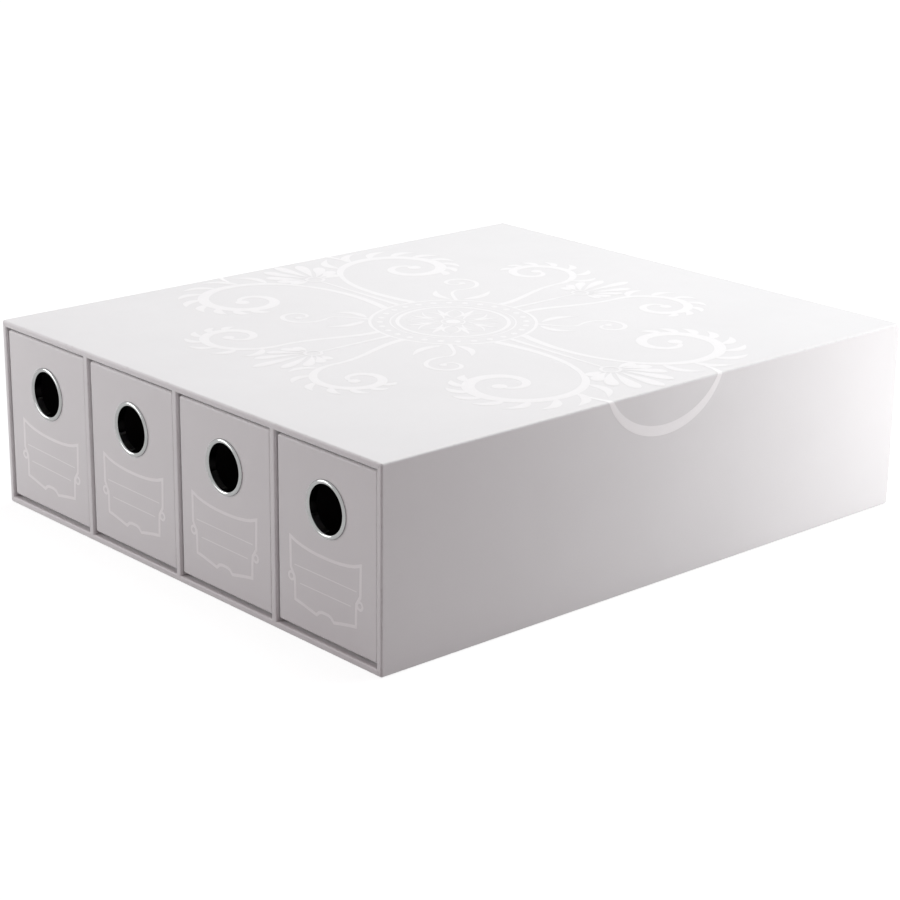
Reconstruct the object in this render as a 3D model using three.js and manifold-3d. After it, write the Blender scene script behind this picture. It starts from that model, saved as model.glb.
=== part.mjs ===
// Trading card drawer box: a paper-wrapped greyboard case with four bays side by side,
// each holding a long wrapped drawer that is pulled by a metal finger ring in its front.
// Millimetres, +Z up, front towards -Y, origin under the middle of the case.
import * as THREE from 'three';
import { RoundedBoxGeometry } from 'three/addons/geometries/RoundedBoxGeometry.js';
import { mergeVertices } from 'three/addons/utils/BufferGeometryUtils.js';
import Module from 'manifold-3d';

// Case, overall
const caseWidth = 340;
const caseDepth = 397;
const caseHeight = 112;
const bayCount = 4;

// Sheet materials
const paper = 0.3;
const glueLine = 0.1;
const caseBoard = 3.1;
const dividerBoard = 3.8;
const drawerBoard = 2.2;

// Case edges and folds
const caseEdgeRadius = 1.2;
const bayMouthRadius = 1;
const dividerEdgeRadius = 1.2;
const caseTurnIn = 18;
const caseTurnUnder = 16;
const baseSheetInset = 3;
const seamGap = 0.4;

// Drawers in their bays
const drawerSideGap = 0.6;
const drawerTopGap = 1.25;
const drawerRunGap = 0.2;
const drawerBackGap = 0.5;
const drawerRecess = 1.2;
const drawerEdgeRadius = 1.4;
const drawerMouthRadius = 1.2;
const drawerTurnIn = 14;

// Cards on the bay floors: the drawers run on them, clear of the rim
const runCard = 1.6;
const runCardGap = 0.5;
const runCardSetback = 10;

// Finger ring: a rolled eyelet through the drawer front, clinched over a backing ring
const ringBoreDiameter = 26;
const ringBelowRim = 14.7;
const ringSheet = 0.5;
const ringSeat = 0.1;
const ringHoleGap = 0.3;
const flangeWidth = 2.5;
const flangeCrown = 1;
const backingWidth = 2.3;
const backingThickness = 0.6;
const backingChamfer = 0.3;
const clinchWidth = 2;
const clinchCrown = 0.9;

// Facets and cutting
const roundSteps = 2;
const flangeSteps = 6;
const clinchSteps = 4;
const innerCurlSteps = 2;
const ringSegments = 32;
const cutOverrun = 5;
const weldDistance = 0.0001;

// Derived sizes: a wrapped wall is paper, glue, board, glue, paper
const skin = paper + glueLine;
const caseWall = caseBoard + 2 * skin;
const dividerWall = dividerBoard + 2 * skin;
const drawerWall = drawerBoard + 2 * skin;
const baseStep = skin;
const halfTurn = Math.PI;
const quarterTurn = Math.PI / 2;

// The outside of the wrapped case, above its base sheet
const caseBox = new THREE.Box3(
  new THREE.Vector3(-caseWidth / 2, -caseDepth / 2, baseStep),
  new THREE.Vector3(caseWidth / 2, caseDepth / 2, caseHeight),
);

// The clear space in the case before the dividers go in
const clearBox = new THREE.Box3(
  new THREE.Vector3(caseBox.min.x + caseWall, caseBox.min.y, caseBox.min.z + caseWall),
  new THREE.Vector3(caseBox.max.x - caseWall, caseBox.max.y - caseWall, caseBox.max.z - caseWall),
);
const clearSize = clearBox.getSize(new THREE.Vector3());
const bayWidth = (clearSize.x - (bayCount - 1) * dividerWall) / bayCount;
const bayPitch = bayWidth + dividerWall;

// Where each bay's middle is, and how far its card and the running gap lift the drawer
const bayMiddle = (index) => clearBox.min.x + bayWidth / 2 + index * bayPitch;
const runHeight = glueLine + runCard + drawerRunGap;

// The drawer in its own frame: front face at y = 0, underside at z = 0
const drawerWidth = bayWidth - 2 * drawerSideGap;
const drawerDepth = clearSize.y - drawerRecess - drawerBackGap;
const drawerHeight = clearSize.z - drawerTopGap - runHeight;
const drawerBox = new THREE.Box3(
  new THREE.Vector3(-drawerWidth / 2, 0, 0),
  new THREE.Vector3(drawerWidth / 2, drawerDepth, drawerHeight),
);
const ringBore = ringBoreDiameter / 2;
const ringOuter = ringBore + flangeWidth;
const ringHeight = drawerHeight - ringBelowRim - ringOuter;

const wasm = await Module();
wasm.setup();

const materials = {
  wrapPaper: new THREE.MeshStandardMaterial({ color: 0xe8e8ea, roughness: 0.45, metalness: 0 }),
  liningPaper: new THREE.MeshStandardMaterial({ color: 0x17141a, roughness: 0.8, metalness: 0 }),
  greyboard: new THREE.MeshStandardMaterial({ color: 0x9a958c, roughness: 0.9, metalness: 0 }),
  ringMetal: new THREE.MeshStandardMaterial({ color: 0xd4d6d9, roughness: 0.15, metalness: 1 }),
};

// A closed manifold solid from any closed three.js geometry
function solidOf(geometry) {
  const bare = geometry.clone();
  bare.deleteAttribute('normal');
  bare.deleteAttribute('uv');
  const welded = mergeVertices(bare, weldDistance);
  return new wasm.Manifold(new wasm.Mesh({
    numProp: 3,
    vertProperties: welded.attributes.position.array,
    triVerts: new Uint32Array(welded.index.array),
  }));
}

function geometryOf(solid) {
  const cut = solid.getMesh();
  const geometry = new THREE.BufferGeometry();
  geometry.setAttribute('position', new THREE.BufferAttribute(cut.vertProperties, cut.numProp));
  geometry.setIndex(new THREE.BufferAttribute(cut.triVerts, 1));
  const faceted = geometry.toNonIndexed();
  faceted.computeVertexNormals();
  return faceted;
}

function named(name, geometry, material) {
  const mesh = new THREE.Mesh(geometry, material);
  mesh.name = name;
  return mesh;
}

function boxOf(minX, minY, minZ, maxX, maxY, maxZ) {
  return new THREE.Box3(new THREE.Vector3(minX, minY, minZ), new THREE.Vector3(maxX, maxY, maxZ));
}

function block(box) {
  const size = box.getSize(new THREE.Vector3());
  const centre = box.getCenter(new THREE.Vector3());
  return solidOf(new THREE.BoxGeometry(size.x, size.y, size.z).translate(centre.x, centre.y, centre.z));
}

// The wrapped outside of a box, moved inwards by a depth below its surface
function softBlock(box, radius, below) {
  const inner = box.clone().expandByScalar(-below);
  const size = inner.getSize(new THREE.Vector3());
  const centre = inner.getCenter(new THREE.Vector3());
  const rounded = new RoundedBoxGeometry(size.x, size.y, size.z, roundSteps, radius - below);
  return solidOf(rounded.translate(centre.x, centre.y, centre.z));
}

// Rectangles stacked along z and joined into one closed body
function rectangleLoft(width, height, levels) {
  const points = [];
  const faces = [];
  const corners = [[-1, -1], [1, -1], [1, 1], [-1, 1]];
  for (const level of levels) {
    for (const [signX, signY] of corners) {
      points.push(signX * (width / 2 + level.grow), signY * (height / 2 + level.grow), level.z);
    }
  }
  const sides = corners.length;
  for (let ring = 0; ring < levels.length - 1; ring += 1) {
    for (let side = 0; side < sides; side += 1) {
      const low = ring * sides + side;
      const lowNext = ring * sides + (side + 1) % sides;
      faces.push(low, lowNext, lowNext + sides, low, lowNext + sides, low + sides);
    }
  }
  const last = (levels.length - 1) * sides;
  faces.push(0, 2, 1, 0, 3, 2, last, last + 1, last + 2, last, last + 2, last + 3);
  const geometry = new THREE.BufferGeometry();
  geometry.setAttribute('position', new THREE.Float32BufferAttribute(points, 3));
  geometry.setIndex(faces);
  return geometry;
}

// A hollow that opens upwards at z = 0, with its mouth edge rounded outwards.
// Its walls are moved into the material around it by a depth below the surface.
function hollow(width, height, depth, mouthRadius, below) {
  const radius = mouthRadius - below;
  const levels = [{ z: -depth - below, grow: below }];
  for (let step = 0; step <= roundSteps; step += 1) {
    const angle = quarterTurn * (step / roundSteps);
    levels.push({
      z: -below - radius * (1 - Math.sin(angle)),
      grow: below + radius * (1 - Math.cos(angle)),
    });
  }
  levels.push({ z: cutOverrun, grow: mouthRadius });
  return rectangleLoft(width, height, levels);
}

// Case: hollow from the front, seen as one shell whose surface is moved inwards
function caseHollow(below) {
  const centre = clearBox.getCenter(new THREE.Vector3());
  const shape = hollow(clearSize.x, clearSize.z, clearSize.y, bayMouthRadius, below);
  return solidOf(shape.rotateX(quarterTurn).translate(centre.x, clearBox.min.y, centre.z));
}

function caseShell(below) {
  return softBlock(caseBox, caseEdgeRadius, below).subtract(caseHollow(below));
}

// Drawer: hollow from above, in the drawer's own frame
function drawerHollow(below) {
  const insideWidth = drawerWidth - 2 * drawerWall;
  const insideDepth = drawerDepth - 2 * drawerWall;
  const insideHeight = drawerHeight - drawerWall;
  const shape = hollow(insideWidth, insideDepth, insideHeight, drawerMouthRadius, below);
  return solidOf(shape.translate(0, drawerDepth / 2, drawerHeight));
}

function drawerShell(below) {
  return softBlock(drawerBox, drawerEdgeRadius, below).subtract(drawerHollow(below));
}

// Boards of the case: the top and bottom run right across, the sides and back stand between them
function caseBoards(group) {
  const core = caseShell(skin);
  const outside = caseBox.clone().expandByScalar(-skin);
  const inside = clearBox.clone().expandByScalar(skin);
  const standLow = inside.min.z + glueLine;
  const standHigh = inside.max.z - glueLine;
  const regions = {
    case_top_board: boxOf(
      outside.min.x, outside.min.y, inside.max.z,
      outside.max.x, outside.max.y, outside.max.z,
    ),
    case_bottom_board: boxOf(
      outside.min.x, outside.min.y, outside.min.z,
      outside.max.x, outside.max.y, inside.min.z,
    ),
    case_left_board: boxOf(
      outside.min.x, outside.min.y, standLow,
      inside.min.x, outside.max.y, standHigh,
    ),
    case_right_board: boxOf(
      inside.max.x, outside.min.y, standLow,
      outside.max.x, outside.max.y, standHigh,
    ),
    case_back_board: boxOf(
      inside.min.x + glueLine, inside.max.y, standLow,
      inside.max.x - glueLine, outside.max.y, standHigh,
    ),
  };
  for (const [name, region] of Object.entries(regions)) {
    group.add(named(name, geometryOf(core.intersect(block(region))), materials.greyboard));
  }
}

// The printed paper: over the outside, round the front rim and a turn-in's length into the bays
function caseWrap() {
  const sheet = caseShell(0).subtract(caseShell(paper));
  const beyondTurnIn = clearBox.clone().expandByScalar(skin);
  beyondTurnIn.min.y = clearBox.min.y + caseTurnIn;
  const window = boxOf(
    caseBox.min.x + caseTurnUnder, caseBox.min.y + caseTurnUnder, caseBox.min.z - cutOverrun,
    caseBox.max.x - caseTurnUnder, caseBox.max.y - caseTurnUnder, caseBox.min.z + skin,
  );
  return sheet.subtract(block(beyondTurnIn)).subtract(block(window));
}

// Plain paper on the inside, from the end of the turn-in to the back
function caseLining() {
  const sheet = caseHollow(paper).subtract(caseHollow(0));
  const front = clearBox.clone().expandByScalar(cutOverrun);
  front.max.y = clearBox.min.y + caseTurnIn + seamGap;
  return sheet.subtract(block(front));
}

function baseSheet() {
  const sheet = new THREE.BoxGeometry(
    caseWidth - 2 * baseSheetInset,
    caseDepth - 2 * baseSheetInset,
    paper,
  );
  return sheet.translate(0, 0, paper / 2);
}

// Plan of a divider seen from above: front edge at y = 0 with both corners rounded
function tracePlan(path, halfWidth, front, back, radius) {
  path.moveTo(-halfWidth, back);
  path.lineTo(-halfWidth, front + radius);
  path.absarc(-halfWidth + radius, front + radius, radius, halfTurn, halfTurn + quarterTurn, false);
  path.absarc(halfWidth - radius, front + radius, radius, halfTurn + quarterTurn, 2 * halfTurn, false);
  path.lineTo(halfWidth, back);
}

// The paper round a divider: both faces and the front edge, as a channel open at the back
function dividerWrapPlan(length) {
  const inside = new THREE.Path();
  tracePlan(inside, dividerWall / 2 - paper, paper, length, dividerEdgeRadius - paper);
  const plan = new THREE.Shape();
  tracePlan(plan, dividerWall / 2, 0, length, dividerEdgeRadius);
  for (const point of inside.getPoints(roundSteps).reverse()) {
    plan.lineTo(point.x, point.y);
  }
  plan.closePath();
  return plan;
}

function dividerBoardPlan(length) {
  const plan = new THREE.Shape();
  tracePlan(plan, dividerBoard / 2, skin, length, dividerEdgeRadius - skin);
  plan.closePath();
  return plan;
}

// Dividers: glued upright between the linings, their front edges level with the rim
function dividers(group) {
  const length = clearSize.y - skin;
  const standing = { depth: clearSize.z - 2 * glueLine, curveSegments: roundSteps, bevelEnabled: false };
  const board = new THREE.ExtrudeGeometry(dividerBoardPlan(length), standing);
  const wrap = new THREE.ExtrudeGeometry(dividerWrapPlan(length), standing);
  for (let index = 1; index < bayCount; index += 1) {
    const divider = new THREE.Group();
    const centreX = clearBox.min.x + index * bayPitch - dividerWall / 2;
    divider.position.set(centreX, clearBox.min.y, clearBox.min.z + glueLine);
    divider.add(named(`divider_${index}_board`, board, materials.greyboard));
    divider.add(named(`divider_${index}_wrap`, wrap, materials.wrapPaper));
    group.add(divider);
  }
}

// A card glued to the floor of each bay, set back from the rim
function runCards(group) {
  const length = clearSize.y - runCardSetback - runCardGap;
  const card = new THREE.BoxGeometry(bayWidth - 2 * runCardGap, length, runCard);
  for (let index = 0; index < bayCount; index += 1) {
    const piece = named(`bay_${index + 1}_card`, card, materials.greyboard);
    const middleY = clearBox.min.y + runCardSetback + length / 2;
    piece.position.set(bayMiddle(index), middleY, clearBox.min.z + glueLine + runCard / 2);
    group.add(piece);
  }
}

// Boards of a drawer: the front and back run right across, the sides and floor fit between them
function drawerBoardSolids() {
  const core = drawerShell(skin);
  const outside = drawerBox.clone().expandByScalar(-skin);
  const board = drawerBoard;
  const between = boxOf(
    outside.min.x + board + glueLine, outside.min.y + board + glueLine, outside.min.z,
    outside.max.x - board - glueLine, outside.max.y - board - glueLine, outside.min.z + board,
  );
  const regions = {
    front_board: boxOf(
      outside.min.x, outside.min.y, outside.min.z,
      outside.max.x, outside.min.y + board, outside.max.z,
    ),
    back_board: boxOf(
      outside.min.x, outside.max.y - board, outside.min.z,
      outside.max.x, outside.max.y, outside.max.z,
    ),
    left_board: boxOf(
      outside.min.x, between.min.y, outside.min.z,
      outside.min.x + board, between.max.y, outside.max.z,
    ),
    right_board: boxOf(
      outside.max.x - board, between.min.y, outside.min.z,
      outside.max.x, between.max.y, outside.max.z,
    ),
    floor_board: between,
  };
  const solids = {};
  for (const [name, region] of Object.entries(regions)) {
    solids[name] = core.intersect(block(region));
  }
  return solids;
}

// The printed paper: over the outside of the drawer and over the rim
function drawerWrap() {
  const sheet = drawerShell(0).subtract(drawerShell(paper));
  const belowTurnIn = drawerBox.clone().expandByScalar(skin - drawerWall);
  belowTurnIn.max.z = drawerHeight - drawerTurnIn;
  return sheet.subtract(block(belowTurnIn));
}

// Black paper on the inside, from the turn-in down to the floor
function drawerLining() {
  const sheet = drawerHollow(paper).subtract(drawerHollow(0));
  const above = drawerBox.clone().expandByScalar(cutOverrun);
  above.min.z = drawerHeight - drawerTurnIn - seamGap;
  return sheet.subtract(block(above));
}

// The hole that the ring's barrel passes through, across the whole front wall
function fingerHole() {
  const radius = ringBore + ringSheet + ringHoleGap;
  const length = drawerWall + 2 * cutOverrun;
  const cutter = new THREE.CylinderGeometry(radius, radius, length, ringSegments);
  return solidOf(cutter.translate(0, drawerWall / 2, ringHeight));
}

// Points of a half-oval from one foot over the crown to the other foot, in radius and depth
function crownArc(innerRadius, outerRadius, foot, rise, steps) {
  const middle = (innerRadius + outerRadius) / 2;
  const half = (outerRadius - innerRadius) / 2;
  const points = [];
  for (let step = 0; step <= steps; step += 1) {
    const angle = halfTurn * (step / steps);
    points.push(new THREE.Vector2(middle + half * Math.cos(angle), foot + rise * Math.sin(angle)));
  }
  return points;
}

// One rolled sheet, turned about the hole's axis: a crowned flange in front, the barrel
// through the wall, and its end clinched outwards over the backing ring
function ringFrontGeometry() {
  const sheet = ringSheet;
  const frontFoot = -ringSeat;
  const backFoot = drawerWall + backingThickness + 2 * ringSeat;
  const clinch = ringBore + clinchWidth;
  const inner = ringBore + sheet;
  const flangeOutside = crownArc(ringBore, ringOuter, frontFoot, -flangeCrown, flangeSteps);
  const flangeInside = crownArc(inner, ringOuter - sheet, frontFoot, sheet - flangeCrown, innerCurlSteps);
  const clinchOutside = crownArc(ringBore, clinch, backFoot, clinchCrown, clinchSteps);
  const clinchInside = crownArc(inner, clinch - sheet, backFoot, clinchCrown - sheet, innerCurlSteps);
  const profile = [
    ...flangeInside,
    ...clinchInside.reverse(),
    ...clinchOutside,
    ...flangeOutside.reverse(),
  ];
  profile.push(profile[0].clone());
  return new THREE.LatheGeometry(profile, ringSegments);
}

function ringBackGeometry() {
  const inner = ringBore + ringSheet + ringSeat;
  const outer = ringBore + backingWidth;
  const near = drawerWall + ringSeat;
  const far = near + backingThickness;
  const profile = [
    new THREE.Vector2(inner, near),
    new THREE.Vector2(outer, near),
    new THREE.Vector2(outer, far - backingChamfer),
    new THREE.Vector2(outer - backingChamfer, far),
    new THREE.Vector2(inner, far),
    new THREE.Vector2(inner, near),
  ];
  return new THREE.LatheGeometry(profile, ringSegments);
}

// Drawers: one set of geometry, placed once in each bay
function drawers(group) {
  const hole = fingerHole();
  const boards = drawerBoardSolids();
  boards.front_board = boards.front_board.subtract(hole);
  const pieces = {};
  for (const [name, solid] of Object.entries(boards)) {
    pieces[name] = [geometryOf(solid), materials.greyboard];
  }
  pieces.wrap = [geometryOf(drawerWrap().subtract(hole)), materials.wrapPaper];
  pieces.lining = [geometryOf(drawerLining().subtract(hole)), materials.liningPaper];
  const ringFront = ringFrontGeometry().translate(0, 0, ringHeight);
  const ringBack = ringBackGeometry().translate(0, 0, ringHeight);
  pieces.ring_front = [ringFront, materials.ringMetal];
  pieces.ring_back = [ringBack, materials.ringMetal];
  for (let index = 0; index < bayCount; index += 1) {
    const drawer = new THREE.Group();
    drawer.position.set(bayMiddle(index), clearBox.min.y + drawerRecess, clearBox.min.z + runHeight);
    for (const [name, [geometry, material]] of Object.entries(pieces)) {
      drawer.add(named(`drawer_${index + 1}_${name}`, geometry, material));
    }
    group.add(drawer);
  }
}

const cardBox = new THREE.Group();
caseBoards(cardBox);
cardBox.add(named('case_wrap', geometryOf(caseWrap()), materials.wrapPaper));
cardBox.add(named('case_lining', geometryOf(caseLining()), materials.wrapPaper));
cardBox.add(named('case_base_sheet', baseSheet(), materials.wrapPaper));
dividers(cardBox);
runCards(cardBox);
drawers(cardBox);

export default cardBox;
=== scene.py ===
"""Looks of the trading card drawer box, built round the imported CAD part.

Metres, +Z up, front towards -Y. Every piece keeps the place of the CAD node it stands for.
"""
import math

import bmesh
import bpy
from mathutils import Matrix, Vector


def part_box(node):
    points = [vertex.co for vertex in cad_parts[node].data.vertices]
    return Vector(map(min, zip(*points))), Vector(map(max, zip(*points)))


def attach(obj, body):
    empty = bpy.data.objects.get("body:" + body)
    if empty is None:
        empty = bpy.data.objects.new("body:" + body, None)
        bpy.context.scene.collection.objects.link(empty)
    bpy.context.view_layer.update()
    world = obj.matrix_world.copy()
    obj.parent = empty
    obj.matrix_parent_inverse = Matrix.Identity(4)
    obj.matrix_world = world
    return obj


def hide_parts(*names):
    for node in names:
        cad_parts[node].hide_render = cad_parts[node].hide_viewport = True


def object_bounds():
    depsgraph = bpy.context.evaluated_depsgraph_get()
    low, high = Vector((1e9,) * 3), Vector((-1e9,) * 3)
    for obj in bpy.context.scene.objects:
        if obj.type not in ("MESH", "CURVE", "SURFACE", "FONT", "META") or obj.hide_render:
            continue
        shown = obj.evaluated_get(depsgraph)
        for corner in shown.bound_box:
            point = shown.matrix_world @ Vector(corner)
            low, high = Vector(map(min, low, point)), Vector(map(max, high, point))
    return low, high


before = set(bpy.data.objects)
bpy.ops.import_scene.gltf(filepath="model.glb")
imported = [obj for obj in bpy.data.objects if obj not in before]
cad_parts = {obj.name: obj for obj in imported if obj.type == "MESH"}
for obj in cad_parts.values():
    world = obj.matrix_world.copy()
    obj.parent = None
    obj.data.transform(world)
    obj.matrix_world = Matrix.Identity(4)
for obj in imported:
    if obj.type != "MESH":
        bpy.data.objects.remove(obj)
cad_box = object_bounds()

MM = 0.001
QUARTER = math.pi / 2

# Sheets and the room that they leave for a film of ink, inside the CAD box
PAPER = 0.3 * MM
INK_ROOM = 0.09 * MM
INK_LIFT = 0.03 * MM
INK_FILM = 0.025 * MM
INK_LAYER = 0.007 * MM

# Folds and rounded edges
CASE_EDGE = 1.2 * MM
CASE_MOUTH = 1.0 * MM
DIVIDER_EDGE = 1.2 * MM
DRAWER_EDGE = 1.4 * MM
DRAWER_MOUTH = 1.2 * MM
FOLD_RADIUS = 0.35 * MM
MITRE_DEPTH = 0.32 * MM
SEAM = 0.4 * MM
GLUE_GAP = 0.1 * MM
CORNER_STEPS = 8
EDGE_STEPS = 8

# Rows of points along a divider's sides, in mouth radii behind the case's front
DIVIDER_ROWS = (6.0, 1.8)

# Finger ring
RING_SHEET = 0.5 * MM
RING_SEAT = 0.1 * MM
RING_FLANGE = 2.5 * MM
RING_CROWN = 1.0 * MM
CLINCH_WIDTH = 2.0 * MM
CLINCH_CROWN = 0.9 * MM
BACKING_CHAMFER = 0.3 * MM
RING_TURNS = 160
CROWN_STEPS = 20
HOLE_CLEARANCE = 0.8 * MM
HOLE_CUT = 20 * MM
EYELET_CREASE = math.radians(50)
BACKING_CREASE = math.radians(30)

# Colours, linear: the two tones of a ground, then what lies over it
WHITE = (1.0, 1.0, 1.0)
PAPER_TONES = ((0.800, 0.797, 0.802), (0.822, 0.819, 0.824))
PAPER_FIBRE = (0.775, 0.770, 0.777)
PAPER_RUBBED = (0.66, 0.648, 0.64)
ORNAMENT_TONES = ((0.905, 0.902, 0.906), (0.925, 0.922, 0.926))
LABEL_TONES = ((0.955, 0.950, 0.954), (0.975, 0.970, 0.974))
LINING_TONES = ((0.044, 0.040, 0.041), (0.062, 0.056, 0.058))
LINING_CLOUD = (0.070, 0.064, 0.066)
BOARD_TONES = ((0.27, 0.25, 0.225), (0.40, 0.375, 0.34))
BOARD_LAYERS = (0.33, 0.305, 0.275)
CARD_TONES = ((0.64, 0.63, 0.625), (0.70, 0.69, 0.685))
CARD_CLOUD = (0.66, 0.65, 0.645)
# Metal tones darker than chrome's: painted shade that stands in for the dark surroundings a ring would
# reflect
PAINTED_SHADE_METAL_TONES = ((0.355, 0.360, 0.358), (0.395, 0.401, 0.399))

DRAWERS = [1, 2, 3, 4]
DIVIDERS = [1, 2, 3]


# Shader nodes

class Shader:
    """A material's node tree, with short calls to add and join nodes."""

    def __init__(self, name):
        self.material = bpy.data.materials.new(name)
        self.material.use_nodes = True
        self.nodes = self.material.node_tree.nodes
        self.links = self.material.node_tree.links
        self.nodes.clear()
        self.output = self.nodes.new("ShaderNodeOutputMaterial")
        self.coordinates = self.nodes.new("ShaderNodeTexCoord")

    def node(self, kind, values=None, **settings):
        node = self.nodes.new(kind)
        for key, value in settings.items():
            setattr(node, key, value)
        for key, value in (values or {}).items():
            node.inputs[key].default_value = value
        return node

    def join(self, start, end):
        self.links.new(start, end)

    def noise(self, scale, detail=4.0, roughness=0.55, stretch=None):
        noise = self.node(
            "ShaderNodeTexNoise",
            {"Scale": scale, "Detail": detail, "Roughness": roughness},
        )
        source = self.coordinates.outputs["Object"]
        if stretch:
            mapping = self.node("ShaderNodeMapping", {"Scale": stretch})
            self.join(source, mapping.inputs["Vector"])
            source = mapping.outputs["Vector"]
        self.join(source, noise.inputs["Vector"])
        return noise.outputs["Fac"]

    def spread(self, source, low, high, start=0.3, end=0.7):
        """A value that goes from low to high as the source goes from start to end."""
        mapped = self.node(
            "ShaderNodeMapRange",
            {"From Min": start, "From Max": end, "To Min": low, "To Max": high},
        )
        self.join(source, mapped.inputs["Value"])
        return mapped.outputs["Result"]

    def product(self, first, second):
        node = self.node("ShaderNodeMath", operation="MULTIPLY")
        self.join(first, node.inputs[0])
        self.join(second, node.inputs[1])
        return node.outputs["Value"]

    def blend(self, share, first, second):
        """A colour between two, each a plain colour or another node's."""
        node = self.node("ShaderNodeMix", data_type="RGBA")
        self.join(share, node.inputs["Factor"])
        for socket, value in (("A", first), ("B", second)):
            end = [i for i in node.inputs if i.name == socket and i.type == "RGBA"][0]
            if isinstance(value, tuple):
                end.default_value = (*value, 1.0)
            else:
                self.join(value, end)
        return [o for o in node.outputs if o.type == "RGBA"][0]

    def bump(self, height, distance, strength, below=None):
        node = self.node("ShaderNodeBump", {"Strength": strength, "Distance": distance})
        self.join(height, node.inputs["Height"])
        if below is not None:
            self.join(below, node.inputs["Normal"])
        return node.outputs["Normal"]

    def principled(self, colour, roughness, normal, **constants):
        """The finished material. A constant's name has underscores where its socket has spaces."""
        bsdf = self.node("ShaderNodeBsdfPrincipled")
        self.join(colour, bsdf.inputs["Base Color"])
        self.join(roughness, bsdf.inputs["Roughness"])
        self.join(normal, bsdf.inputs["Normal"])
        for key, value in constants.items():
            bsdf.inputs[key.replace("_", " ")].default_value = value
        self.join(bsdf.outputs["BSDF"], self.output.inputs["Surface"])
        return self.material


def wrap_paper():
    """Off-white printed paper under a soft matt film, a little worn along its folded edges."""
    shader = Shader("wrap_paper")
    cloud = shader.noise(scale=14.0, detail=3.0)
    fibre = shader.noise(scale=1400.0, detail=6.0, roughness=0.7, stretch=(1.0, 0.45, 1.0))
    grain = shader.noise(scale=3600.0, detail=3.0)
    scuffs = shader.noise(scale=260.0, detail=5.0, roughness=0.65)
    sheen = shader.noise(scale=90.0)
    waves = shader.noise(scale=34.0, detail=2.0)
    colour = shader.blend(shader.spread(cloud, low=0.0, high=1.0), *PAPER_TONES)
    fibres = shader.spread(fibre, low=0.0, high=0.35, start=0.45, end=0.75)
    colour = shader.blend(fibres, colour, PAPER_FIBRE)
    edge = shader.node("ShaderNodeAttribute", attribute_name="edge").outputs["Fac"]
    worn = shader.spread(scuffs, low=0.0, high=0.5, start=0.5, end=0.68)
    colour = shader.blend(shader.product(edge, worn), colour, PAPER_RUBBED)
    roughness = shader.spread(sheen, low=0.40, high=0.50)
    normal = shader.bump(waves, distance=0.09 * MM, strength=0.6)
    normal = shader.bump(fibre, distance=0.012 * MM, strength=0.7, below=normal)
    normal = shader.bump(grain, distance=0.004 * MM, strength=0.6, below=normal)
    return shader.principled(colour, roughness, normal, Specular_IOR_Level=0.42)


def print_ink(name, tones, gloss):
    """White print, a little uneven where the ink lies thinner."""
    shader = Shader(name)
    film = shader.noise(scale=420.0, detail=3.0)
    colour = shader.blend(shader.spread(film, low=0.0, high=1.0), *tones)
    roughness = shader.spread(shader.noise(scale=160.0, detail=3.0), low=0.36, high=0.46)
    normal = shader.bump(film, distance=0.002 * MM, strength=0.3)
    return shader.principled(colour, roughness, normal, Specular_IOR_Level=gloss)


def lining_paper():
    """Uncoated black paper with a short fibre."""
    shader = Shader("black_paper")
    fibre = shader.noise(scale=1100.0, detail=6.0, roughness=0.7)
    cloud = shader.noise(scale=40.0, detail=3.0)
    colour = shader.blend(shader.spread(fibre, low=0.0, high=1.0), *LINING_TONES)
    colour = shader.blend(shader.spread(cloud, low=0.0, high=0.4), colour, LINING_CLOUD)
    roughness = shader.spread(cloud, low=0.68, high=0.82)
    normal = shader.bump(fibre, distance=0.02 * MM, strength=0.8)
    return shader.principled(colour, roughness, normal, Specular_IOR_Level=0.3)


def greyboard():
    """Recycled greyboard: warm grey with paler and darker flecks of fibre."""
    shader = Shader("greyboard")
    flecks = shader.noise(scale=700.0, detail=8.0, roughness=0.75, stretch=(1.0, 0.4, 0.4))
    layers = shader.noise(scale=60.0, roughness=0.6, stretch=(0.3, 0.3, 3.0))
    colour = shader.blend(shader.spread(flecks, low=0.0, high=1.0, start=0.35, end=0.65), *BOARD_TONES)
    colour = shader.blend(shader.spread(layers, low=0.0, high=0.5), colour, BOARD_LAYERS)
    roughness = shader.spread(flecks, low=0.82, high=0.95)
    normal = shader.bump(flecks, distance=0.05 * MM, strength=0.8)
    return shader.principled(colour, roughness, normal, Specular_IOR_Level=0.25)


def pale_card():
    """Uncoated off-white card with a short fibre."""
    shader = Shader("pale_card")
    fibre = shader.noise(scale=900.0, detail=6.0, roughness=0.7, stretch=(1.0, 0.5, 1.0))
    cloud = shader.noise(scale=50.0, detail=3.0)
    colour = shader.blend(shader.spread(fibre, low=0.0, high=1.0), *CARD_TONES)
    colour = shader.blend(shader.spread(cloud, low=0.0, high=0.4), colour, CARD_CLOUD)
    roughness = shader.spread(cloud, low=0.72, high=0.85)
    normal = shader.bump(fibre, distance=0.02 * MM, strength=0.7)
    return shader.principled(colour, roughness, normal, Specular_IOR_Level=0.25)


def ring_metal():
    """Chrome plate on rolled steel, with faint polishing marks. Its colour is darker than chrome's:
    painted shade that stands in for the dark surroundings that it would reflect.
    """
    shader = Shader("ring_metal")
    haze = shader.noise(scale=180.0)
    marks = shader.noise(scale=2600.0, detail=3.0, roughness=0.6, stretch=(1.0, 0.2, 1.0))
    # The dark metal tones are painted shade, in place of reflected dark surroundings
    colour = shader.blend(shader.spread(haze, low=0.0, high=1.0), *PAINTED_SHADE_METAL_TONES)
    roughness = shader.spread(marks, low=0.045, high=0.11)
    normal = shader.bump(marks, distance=0.0012 * MM, strength=0.6)
    return shader.principled(colour, roughness, normal, Metallic=1.0)


# Meshes

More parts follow.
